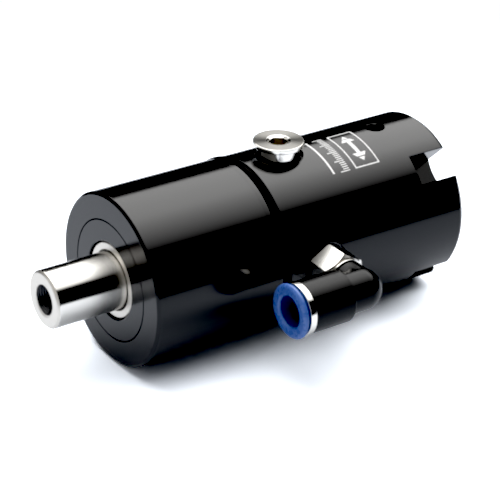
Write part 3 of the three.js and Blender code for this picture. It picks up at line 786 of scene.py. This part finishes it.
def shaft():
    """The hollow shaft, from the mouth of its nose round the outside to the thread."""
    edge = 0.7
    under_sleeve, under_sleeve_start = 9.45, 2.5
    shoulder, shoulder_start, shoulder_end = 11.3, WEAR_REAR + REST, 8.9
    seat, seat_end = 9.95, 41  # both bearings
    clip_front, clip_rear, clip_r = 38.15, 39.55, 9.4
    tail, tail_end = 8, 48  # the rotor's seal ring
    groove_front, groove_rear, groove_r = 44, 46.2, 6.7
    thread_end = NOSE_END + 13
    rows = int((thread_end - NOSE_END) / THREAD_PITCH * 8)
    thread_start, thread_length = thread_end - 0.5, thread_end - 0.8 - NOSE_END
    thread = [(thread_start - thread_length * k / rows, THREAD_R) for k in range(rows + 1)]
    piece = lathe("shaft_turned", [
        (NOSE_END, THREAD_R + 0.75, 0.1),
        (NOSE_END, NOSE_R - edge, 0.25),
        (NOSE_END + edge, NOSE_R, 0.25),
        (under_sleeve_start, NOSE_R),
        (under_sleeve_start, under_sleeve),
        (shoulder_start, under_sleeve),
        (shoulder_start, shoulder),
        (shoulder_end, shoulder),
        (shoulder_end, seat),
        (clip_front, seat),
        (clip_front, clip_r),
        (clip_rear, clip_r),
        (clip_rear, seat),
        (seat_end, seat),
        (seat_end, tail),
        (groove_front, tail),
        (groove_front, groove_r),
        (groove_rear, groove_r),
        (groove_rear, tail),
        (tail_end, tail),
        (tail_end, AIR_R),
        (thread_end, AIR_R),
        *thread,
    ], sides=SMALL_AROUND, relief=nose_thread)
    stand_in(shade(piece, NOSE_R, sharp=65), "shaft", GROUND_STEEL)
    # The faces near the thread get the dark steel: painted shade in the bore.
    finish_faces(piece, TAPPED_STEEL_PAINTED_SHADE, lambda place, _: math.hypot(*place[1:]) < THREAD_R + 0.6)
    finish_faces(piece, FACED_STEEL, lambda place, normal: normal.x < -0.5 and place[0] < NOSE_END + edge)


def wear_sleeve():
    """The sleeve under the lip seal, with a flange that covers the seal's front."""
    inner = 9.75
    flange_rear = 1.2
    edge = 0.3
    sleeve = lathe("wear_sleeve_ground", [
        (WEAR_FRONT, inner + 0.2, 0.1),
        (WEAR_FRONT, WEAR_FLANGE_R - edge, 0.15),
        (WEAR_FRONT + edge, WEAR_FLANGE_R, 0.15),
        (flange_rear, WEAR_FLANGE_R, 0.1),
        (flange_rear, WEAR_R),
        (WEAR_REAR, WEAR_R, 0.1),
        (WEAR_REAR, inner),
        (WEAR_FRONT + 0.2, inner, 0.1),
    ])
    stand_in(shade(sleeve), "wear_sleeve", GROUND_STEEL)
    finish_faces(sleeve, FACED_STEEL, lambda place, _: place[0] < flange_rear - 0.05)


# ---------------------------------------------------------------- plug of the spare port
def port_plug():
    neck, foot = 6.9, 27.8
    under = PLUG_TOP - 1.5
    end = span("port_plug", 2)[0]
    dish, dish_floor = 3.8, PLUG_TOP - 0.5
    plug = lathe("port_plug_turned", [
        (end, 0),
        (end, MALE_R - 0.6, 0.1),
        (end + 0.6, MALE_R),
        (foot, MALE_R),
        (foot, neck, 0.2),
        (under, neck, 0.15),
        (under, PLUG_R, 0.2),
        (PLUG_TOP, PLUG_R, 0.3),
        (PLUG_TOP, dish, 0.12),
        (dish_floor, dish - 0.6),
        (dish_floor, 0),
    ], at_top_port, SMALL_AROUND)
    corner, depth, turn = 5.5 / math.sqrt(3), 4.2, 25
    socket = prism("cut_socket", hexagon(corner, turn), PLUG_TOP - depth, PLUG_TOP + 1,
                   lambda u, v, d: (PORT_STATION + u, v, d))
    combine(plug, "DIFFERENCE", socket)

    def on_top(place, normal):
        return normal.z > 0.999 and place[2] > PLUG_TOP - 0.01

    # The socket's walls and floor get the darker nickel: painted shade in the hole.
    def in_shaded_socket(place, normal):
        s, y, z = place
        inside = math.hypot(s - PORT_STATION, y) < corner + 0.05 and foot < z < dish_floor + 0.01
        return inside and (abs(normal.z) < 0.5 or z < PLUG_TOP - 2)

    stand_in(shade(plug), "port_plug", NICKEL)
    finish_faces(plug, FACED_NICKEL, on_top)
    finish_faces(plug, SOCKET_NICKEL_PAINTED_SHADE, in_shaded_socket)


def flat_seal(node, place):
    low, high = span(node, 2) if place is at_top_port else sorted(-v for v in span(node, 1))
    inner, outer = THREAD_R + 0.2, 7
    seal = lathe(f"{node}_cut", [
        (low, inner),
        (low, outer, 0.12),
        (high, outer, 0.12),
        (high, inner),
    ], place, SMALL_AROUND)
    stand_in(shade(seal), node, RUBBER)


# ---------------------------------------------------------------- elbow fitting
def elbow_stem():
    bore = 2.9
    inner_end, spigot_end = -span("elbow_stem", 1)[1], -span("elbow_stem", 1)[0]
    spigot = 4.1
    groove_front, groove_rear, groove_r = 40.4, 42, 3.3
    collar_foot, neck = COLLAR["end"] - 0.45, COLLAR["radius"] - 0.9
    in_hexagon = HEX["outer"] - 0.5
    stem = lathe("elbow_stem_turned", [
        (inner_end, bore),
        (inner_end, MALE_R - 0.5),
        (inner_end + 0.5, MALE_R),
        (in_hexagon, MALE_R),
        (in_hexagon, neck),
        (collar_foot, neck),
        (collar_foot, COLLAR["radius"], 0.1),
        (COLLAR["end"], COLLAR["radius"], 0.12),
        (COLLAR["end"], spigot),
        (groove_front, spigot),
        (groove_front, groove_r),
        (groove_rear, groove_r),
        (groove_rear, spigot),
        (spigot_end, spigot, 0.2),
        (spigot_end, bore),
    ], at_side_port, SMALL_AROUND)
    cone = 1.15  # the hexagon's outer end, turned at 45 degrees
    rounding = lathe("rounding", [
        (HEX["inner"], bore + 0.5),
        (HEX["inner"], HEX["corner"] - 0.4),
        (HEX["inner"] + 0.4, HEX["corner"] + 0.1),
        (HEX["outer"] - cone, HEX["corner"] + 0.1),
        (HEX["outer"], HEX["corner"] - cone),
        (HEX["outer"], bore + 0.5),
    ], at_side_port, SMALL_AROUND)
    bar = prism("bar", hexagon(HEX["corner"], HEX["turn"]), HEX["inner"] - 1, HEX["outer"] + 1,
                lambda u, v, d: (PORT_STATION + v, -d, u))
    combine(rounding, "INTERSECT", bar)
    combine(stem, "UNION", rounding)
    stand_in(shade(stem), "elbow_stem", NICKEL)


def elbow_body():
    stem_from = COLLAR["end"] + 0.3
    corner = ELBOW["corner"]
    step = ELBOW["step"]
    dome_steps = 24
    dome = [
        (PORT_STATION + corner * math.sin(a), corner * math.cos(a))
        for a in (math.radians(90 * k / dome_steps) for k in range(dome_steps))
    ]
    body = lathe("elbow_body_moulded", [
        (BARREL_FRONT, 0),
        (BARREL_FRONT, BARREL_R, 0.2),
        (step, BARREL_R, 0.45),
        (step, corner),
        *dome,
        (PORT_STATION + corner, 0),
    ], around_tube, SMALL_AROUND)
    stem = lathe("stem", [
        (stem_from, 0),
        (stem_from, ELBOW["stem"], 0.3),
        (TUBE_AXIS, ELBOW["stem"]),
        (TUBE_AXIS, 0),
    ], at_side_port, SMALL_AROUND)
    combine(body, "UNION", stem)
    ring_room, ring_room_end = 7.35, 46.8
    seal_room, seal_room_end = 7, 49.6
    tube_stop, passage = 56, 3.8
    socket = lathe("cut_socket", [
        (BARREL_FRONT - 1, 0),
        (BARREL_FRONT - 1, ring_room),
        (ring_room_end, ring_room),
        (ring_room_end, seal_room),
        (seal_room_end, seal_room),
        (seal_room_end, TUBE_R),
        (tube_stop, TUBE_R),
        (tube_stop, passage),
        (PORT_STATION, passage),
        (PORT_STATION, 0),
    ], around_tube, SMALL_AROUND)
    room, room_end, bore = 4.2, 43.7, 3.2
    spigot_room = lathe("cut_spigot", [
        (COLLAR["end"], 0),
        (COLLAR["end"], room),
        (room_end, room),
        (room_end, bore),
        (TUBE_AXIS, bore),
        (TUBE_AXIS, 0),
    ], at_side_port, 96)
    combine(body, "DIFFERENCE", socket, spigot_room)
    stand_in(shade(body), "elbow_body", BLACK_PLASTIC)


def mouth_ring():
    rear = 39.7
    inner = 6.25
    sleeve = 7.3
    ring = lathe("mouth_ring_turned", [
        (RING_FRONT, inner, 0.1),
        (RING_FRONT, RING_R, 0.45),
        (rear, RING_R, 0.3),
        (rear, sleeve),
        (RING_END, sleeve),
        (RING_END, inner),
    ], around_tube)
    stand_in(shade(ring), "mouth_ring", NICKEL)


def release_ring():
    back = 36.4
    bore = TUBE_R
    sleeve = 6.1
    ring = lathe("release_ring_moulded", [
        (RELEASE_FRONT, bore + 0.6, 0.25),
        (RELEASE_FRONT, RELEASE_R - 0.8, 0.4),
        (RELEASE_FRONT + 0.7, RELEASE_R, 0.4),
        (back, RELEASE_R, 0.2),
        (back, sleeve),
        (RELEASE_END, sleeve, 0.15),
        (RELEASE_END, bore, 0.15),
        (RELEASE_FRONT + 0.6, bore, 0.25),
    ], around_tube)
    half, slit_front = 0.45, RELEASE_END - 3.5
    slit = rectangle(-half, half, 10)
    ways = {"a": lambda u, v, s: (s, -TUBE_AXIS + u, v), "b": lambda u, v, s: (s, -TUBE_AXIS + v, u)}
    cross = [prism(f"cut_slit_{name}", slit, slit_front, RELEASE_END + 1, way) for name, way in ways.items()]
    combine(ring, "DIFFERENCE", *cross)
    stand_in(shade(ring), "release_ring", BLUE_PLASTIC)

    # The faces inside the bore get the darker blue: painted shade in the hole.
    def in_shaded_bore(place, _):
        s, y, z = place
        return math.hypot(y + TUBE_AXIS, z) < bore + 0.1 and s > RELEASE_FRONT + 1.2

    finish_faces(ring, BLUE_BORE_PAINTED_SHADE, in_shaded_bore)


# ---------------------------------------------------------------- printed mark
def rotation_mark():
    """A plain print on the rear housing: an arrow both ways round the axis, and a row of ticks."""
    height = 0.03
    thickness = 0.02
    bm = bmesh.new()

    def strip(corners):
        """A thin plate bent round the housing; corners are (station, angle up from -Y in degrees)."""
        rows = []
        for lift in (height, height + thickness):
            row = []
            for s, angle in corners:
                a = math.radians(angle)
                r = BODY_R + lift
                row.append(bm.verts.new(put((s, -r * math.cos(a), r * math.sin(a)))))
            rows.append(row)
        count = len(corners)
        bm.faces.new(rows[0])
        bm.faces.new(rows[1])
        for k in range(count):
            n = (k + 1) % count
            bm.faces.new([rows[0][k], rows[0][n], rows[1][n], rows[1][k]])

    def bar(s0, s1, a0, a1, pieces=1):
        for k in range(pieces):
            low = a0 + (a1 - a0) * k / pieces
            high = a0 + (a1 - a0) * (k + 1) / pieces
            strip([(s0, low), (s1, low), (s1, high), (s0, high)])

    low, high = 58, 92  # angles of the print's two ends
    pieces = 14
    frame_front, frame_rear, line, half_line = 82, 91.5, 0.45, 0.45
    for edge in (frame_front, frame_rear - line):
        bar(edge, edge + line, low, high, pieces)
    for edge in (low, high):
        bar(frame_front, frame_rear, edge - half_line, edge + half_line)
    middle = (frame_front + frame_rear) / 2
    arrow_from, arrow_to, head = low + 4, high - 4, 7
    half_stem, half_head = 0.7, 2.6
    bar(middle - half_stem, middle + half_stem, arrow_from + head, arrow_to - head, 10)
    for tip, base in ((arrow_from, arrow_from + head), (arrow_to, arrow_to - head)):
        strip([(middle - half_head, base), (middle, tip), (middle + half_head, base)])
    ticks, tick_foot, half_tick, long_tick, short_tick = 20, 79.8, 0.35, 3.6, 2.2
    for k in range(ticks + 1):
        angle = low + (high - low) * k / ticks
        length = long_tick if k % 5 == 0 else short_tick
        bar(tick_foot - length, tick_foot, angle - half_tick, angle + half_tick)
    rule_front, rule_rear = 73.2, 73.9
    bar(rule_front, rule_rear, low, high, pieces)
    bmesh.ops.recalc_face_normals(bm, faces=bm.faces)
    mesh = bpy.data.meshes.new("rotation_mark")
    bm.to_mesh(mesh)
    bm.free()
    mark = link("rotation_mark", mesh)
    mark.data.materials.append(INK)
    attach(mark, BODY_OF["rear_housing"])


# ---------------------------------------------------------------- studio
def floor():
    """A round pale table top under the part, with two tones.

    `seen` is for rays from the camera. It is over 1, so the ground looks white, as if retouched.
    `lit` is for all other rays, so the part's gloss shows a plain pale surface.
    """
    reach = 0.3
    middle = (cad_box[0] + cad_box[1]) / 2
    bm = bmesh.new()
    turns = [2 * math.pi * k / AROUND for k in range(AROUND)]
    rim = [(middle.x + reach * math.cos(a), middle.y + reach * math.sin(a), BASE_Z * MM) for a in turns]
    bm.faces.new([bm.verts.new(place) for place in rim])
    mesh = bpy.data.meshes.new("floor")
    bm.to_mesh(mesh)
    bm.free()
    plane = link("floor", mesh)
    nodes = Nodes("floor")
    seen, lit = 1.68, 0.78
    tint, lit_tint = (0.95, 1.0, 1.08), (0.955, 1.0, 1.085)
    direct = nodes.add("ShaderNodeBsdfDiffuse", {"Color": (*(seen * c for c in tint), 1)})
    bounced = nodes.add("ShaderNodeBsdfDiffuse", {"Color": (*(lit * c for c in lit_tint), 1)})
    camera_ray = nodes.add("ShaderNodeLightPath").outputs["Is Camera Ray"]
    mixed = nodes.add("ShaderNodeMixShader", {0: camera_ray, 1: bounced.outputs[0], 2: direct.outputs[0]})
    nodes.tree.links.new(mixed.outputs[0], nodes.tree.nodes["Material Output"].inputs["Surface"])
    mesh.materials.append(nodes.material)


def studio():
    """A wide soft box overhead, a dimmer wall beyond the nose, and a faint fill.

    The box is a rectangle on a plane above the part, brighter towards its middle. Rays from the camera
    see plain white instead.
    """
    world = bpy.data.worlds.new("studio")
    bpy.context.scene.world = world
    world.use_nodes = True
    tree = world.node_tree
    tree.nodes.clear()

    def add(kind, inputs=None, **settings):
        return add_node(tree, kind, inputs, **settings)

    def maths(operation, a, b):
        return add("ShaderNodeMath", {0: a, 1: b}, operation=operation).outputs[0]

    def ramp(value, start, end, low, high, kind="SMOOTHSTEP"):
        ends = {"Value": value, "From Min": start, "From Max": end, "To Min": low, "To Max": high}
        return add("ShaderNodeMapRange", ends, interpolation_type=kind).outputs["Result"]

    direction = add("ShaderNodeTexCoord").outputs["Generated"]
    axes = add("ShaderNodeSeparateXYZ", {0: direction}).outputs
    up = maths("MAXIMUM", axes["Z"], 0.02)
    across = maths("DIVIDE", axes["Y"], up)
    along = maths("DIVIDE", axes["X"], up)
    near_edge = ramp(across, -0.82, -0.72, 0, 1)
    far_edge = ramp(across, 1.42, 1.62, 1, 0)
    left_edge = ramp(along, -0.5, -0.4, 0, 1)
    right_edge = ramp(along, 1.5, 1.8, 1, 0)
    rising = ramp(across, -0.8, 0.14, 0.4, 3.6, "LINEAR")
    falling = ramp(across, 0.3, 1.15, 1.0, 0.7, "LINEAR")
    above = ramp(axes["Z"], 0.0, 0.02, 0, 1)
    light = near_edge
    for factor in (far_edge, left_edge, right_edge, rising, falling, above):
        light = maths("MULTIPLY", light, factor)
    wall = maths("MULTIPLY", ramp(axes["X"], -0.7, -0.45, 0.55, 0), above)
    light = maths("ADD", light, wall)
    box = add("ShaderNodeBackground", {"Color": (1.0, 0.995, 0.985, 1), "Strength": light})
    fill = add("ShaderNodeBackground", {"Color": (0.7, 0.8, 1.0, 1), "Strength": 0.004})
    lit = add("ShaderNodeAddShader", {0: box.outputs[0], 1: fill.outputs[0]})
    seen = add("ShaderNodeBackground", {"Color": (1, 1, 1, 1), "Strength": 0.82})
    camera_ray = add("ShaderNodeLightPath").outputs["Is Camera Ray"]
    mixed = add("ShaderNodeMixShader", {0: camera_ray, 1: lit.outputs[0], 2: seen.outputs[0]})
    add("ShaderNodeOutputWorld", {"Surface": mixed.outputs[0]})


def camera():
    azimuth, elevation, roll = -35.44, 27.74, 1.66
    distance = 0.6346
    lens, sensor = 141.96, 36
    aside = (0.0058, 0.0011, -0.0047)
    low, high = cad_box
    aim = Vector(((low.x + 2 * high.x) / 2 + aside[0], aside[1], aside[2]))
    data = bpy.data.cameras.new("camera")
    data.lens = lens
    data.sensor_width = sensor
    eye = bpy.data.objects.new("camera", data)
    bpy.context.scene.collection.objects.link(eye)
    turn = Euler((math.radians(90 - elevation), 0, math.radians(azimuth))).to_matrix()
    turn = turn @ Matrix.Rotation(math.radians(roll), 3, "Z")
    back = turn @ Vector((0, 0, 1))
    eye.matrix_world = Matrix.Translation(aim + back * distance) @ turn.to_4x4()
    bpy.context.scene.camera = eye


def tones():
    """Soft pixels, and a range of tones clipped at both ends."""
    black, white = 0.03, 0.8
    bpy.context.scene.cycles.filter_width = 2.0
    view = bpy.context.scene.view_settings
    view.view_transform = "Standard"
    view.use_curve_mapping = True
    view.curve_mapping.black_level = (black, black, black)
    view.curve_mapping.white_level = (white, white, white)
    view.curve_mapping.update()


# ---------------------------------------------------------------- the whole
for name, node in frame["nodes"].items():
    node.data.materials.clear()
    node.data.materials.append(FINISHES[SLOT_OF[name]])

front_sleeve()
front_cap()
front_lip_seal()
joint_band()
rear_housing()
chamber_plug()
chamber_retaining_ring()
shaft()
wear_sleeve()
port_plug()
flat_seal("port_plug_seal", at_top_port)
elbow_stem()
flat_seal("elbow_stem_seal", at_side_port)
elbow_body()
mouth_ring()
release_ring()
rotation_mark()
floor()
studio()
camera()
tones()
